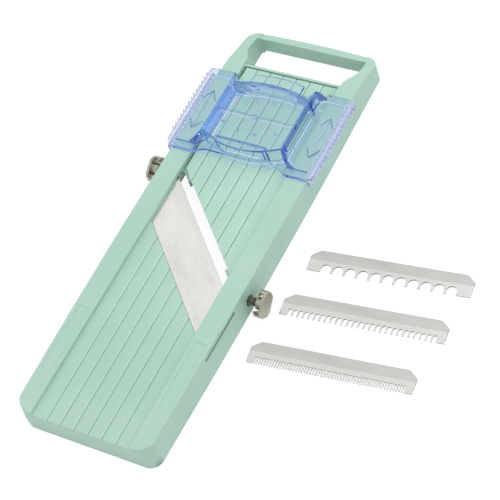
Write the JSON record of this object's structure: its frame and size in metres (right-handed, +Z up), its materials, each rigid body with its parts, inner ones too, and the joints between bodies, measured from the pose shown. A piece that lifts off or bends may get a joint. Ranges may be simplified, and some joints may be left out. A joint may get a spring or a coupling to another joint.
{
  "type": "mandoline slicer",
  "caption": "Flat plastic vegetable slicer with a diagonal steel blade, adjustable ramp, sliding hand guard, thumb clamp screws and loose comb blades.",
  "frame": {"origin": "middle of the foot of the front wall, on the floor", "axes": "+Y along the body towards the handle opening, +Z up, +X to the right when the handle end is away"},
  "size_m": [0.2179, 0.2905, 0.03],
  "materials": {
    "green_plastic": "satin moulded ABS",
    "blue_plastic": "clear tinted, polished",
    "blade_steel": "fine ground",
    "dark_steel": "oiled",
    "nickel_plate": "dull nickel plated zinc casting",
    "brass": "turned"
  },
  "bodies": {
    "frame": {"body_frame": "green_plastic", "hinge_rod": "dark_steel", "main_blade": "blade_steel", "blade_screws": "dark_steel", "clamp_inserts": "brass", "adjuster_bracket": "blade_steel", "bracket_screws": "dark_steel"},
    "ramp": {"ramp_plate": "green_plastic", "ramp_nut": "brass"},
    "adjuster": {"adjuster_spindle": "dark_steel", "adjuster_knob": "nickel_plate", "adjuster_clip": "dark_steel", "adjuster_washer": "blade_steel"},
    "left_screw": {"left_clamp_spindle": "dark_steel"},
    "left_knob": {"left_clamp_knob": "nickel_plate"},
    "right_screw": {"right_clamp_spindle": "dark_steel"},
    "right_knob": {"right_clamp_knob": "nickel_plate"},
    "guard": {"hand_guard": "blue_plastic"},
    "comb_coarse": {"coarse_comb": "blade_steel"},
    "comb_medium": {"medium_comb": "blade_steel"},
    "comb_fine": {"fine_comb": "blade_steel"}
  },
  "joints": [
    {"name": "ramp_tilt", "type": "hinge", "parent": "frame", "child": "ramp", "pos_m": [0, 0.2545, 0.0126], "axis": [1, 0, 0], "range_deg": [-0.25, 2.3]},
    {"name": "adjuster_spin", "type": "hinge", "parent": "frame", "child": "adjuster", "pos_m": [0, 0.1915, 0.0024], "axis": [0, 0, 1], "range_deg": [-125, 1140]},
    {"name": "left_screw_travel", "type": "slide", "parent": "frame", "child": "left_screw", "axis": [-1, 0, 0], "range_m": [-0.0016, 0.003]},
    {"name": "left_knob_spin", "type": "hinge", "parent": "left_screw", "child": "left_knob", "pos_m": [-0.0516, 0.1763, 0.008], "axis": [-1, 0, 0], "range_deg": [-722, 1352]},
    {"name": "right_screw_travel", "type": "slide", "parent": "frame", "child": "right_screw", "axis": [1, 0, 0], "range_m": [-0.0016, 0.003]},
    {"name": "right_knob_spin", "type": "hinge", "parent": "right_screw", "child": "right_knob", "pos_m": [0.0516, 0.1097, 0.008], "axis": [1, 0, 0], "range_deg": [-722, 1352]},
    {"name": "guard_slide", "type": "slide", "parent": "frame", "child": "guard", "axis": [0, 1, 0], "range_m": [-0.175, 0.02]},
    {"name": "coarse_comb_lift", "type": "slide", "parent": "frame", "child": "comb_coarse", "axis": [0, 0, 1], "range_m": [0, 0.035]},
    {"name": "medium_comb_lift", "type": "slide", "parent": "frame", "child": "comb_medium", "axis": [0, 0, 1], "range_m": [0, 0.035]},
    {"name": "fine_comb_lift", "type": "slide", "parent": "frame", "child": "comb_fine", "axis": [0, 0, 1], "range_m": [0, 0.035]}
  ],
  "couplings": [
    {"joint": "adjuster_spin", "follows": "ramp_tilt", "ratio": 494.8},
    {"joint": "left_knob_spin", "follows": "left_screw_travel", "rad_per_m": 7854},
    {"joint": "right_knob_spin", "follows": "right_screw_travel", "rad_per_m": 7854}
  ]
}
